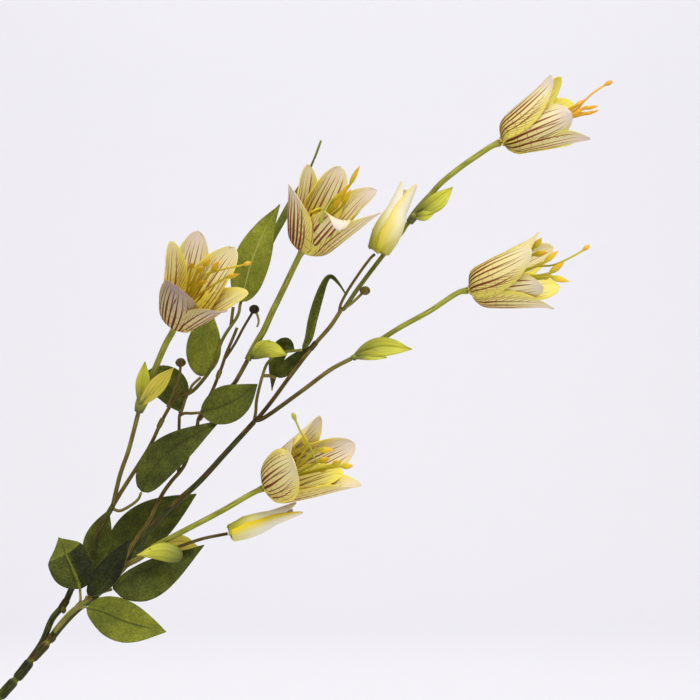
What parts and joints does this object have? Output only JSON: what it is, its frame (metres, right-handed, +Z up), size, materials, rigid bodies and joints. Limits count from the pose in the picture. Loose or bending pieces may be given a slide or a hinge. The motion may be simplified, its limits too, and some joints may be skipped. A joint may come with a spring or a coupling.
{
  "type": "artificial fritillary spray in a vase",
  "caption": "Leaning spray of bell-shaped fritillary blooms, buds and leaves on a branching covered-wire stem, standing in a plain glazed vase.",
  "frame": {"origin": "centre of the vase's base, on the surface that it stands on", "axes": "+Z up, +X towards the side that the spray leans to, +Y to the back"},
  "size_m": [0.4789, 0.1274, 0.6368],
  "materials": {
    "vase": "glossy off-white stoneware glaze",
    "stem": "satin olive-brown plastic over steel wire",
    "pedicel": "satin yellow-green plastic over wire",
    "leaf": "matt printed polyester cloth",
    "petal": "matt printed polyester cloth, maroon veins",
    "bud": "matt printed polyester cloth",
    "bract": "matt printed polyester cloth",
    "stamen": "satin moulded plastic"
  },
  "bodies": {
    "root": {"vase": "vase", "stems": "stem", "pedicel_1": "pedicel", "petals_1": "petal", "stamens_1": "stamen", "bract_1": "bract", "pedicel_2": "pedicel", "petals_2": "petal", "stamens_2": "stamen", "bract_2": "bract", "pedicel_3": "pedicel", "petals_3": "petal", "stamens_3": "stamen", "bract_3": "bract", "pedicel_4": "pedicel", "petals_4": "petal", "stamens_4": "stamen", "bract_4": "bract", "pedicel_5": "pedicel", "petals_5": "petal", "stamens_5": "stamen", "bract_5": "bract", "bud_1": "bud", "bud_2": "bud", "leaf_01": "leaf", "leaf_02": "leaf", "leaf_03": "leaf", "leaf_04": "leaf", "leaf_05": "leaf", "leaf_06": "leaf", "leaf_07": "leaf", "leaf_08": "leaf", "leaf_09": "leaf", "leaf_10": "leaf", "leaf_11": "leaf", "leaf_12": "leaf", "leaf_13": "leaf", "leaf_14": "leaf", "leaf_15": "leaf"}
  },
  "joints": []
}
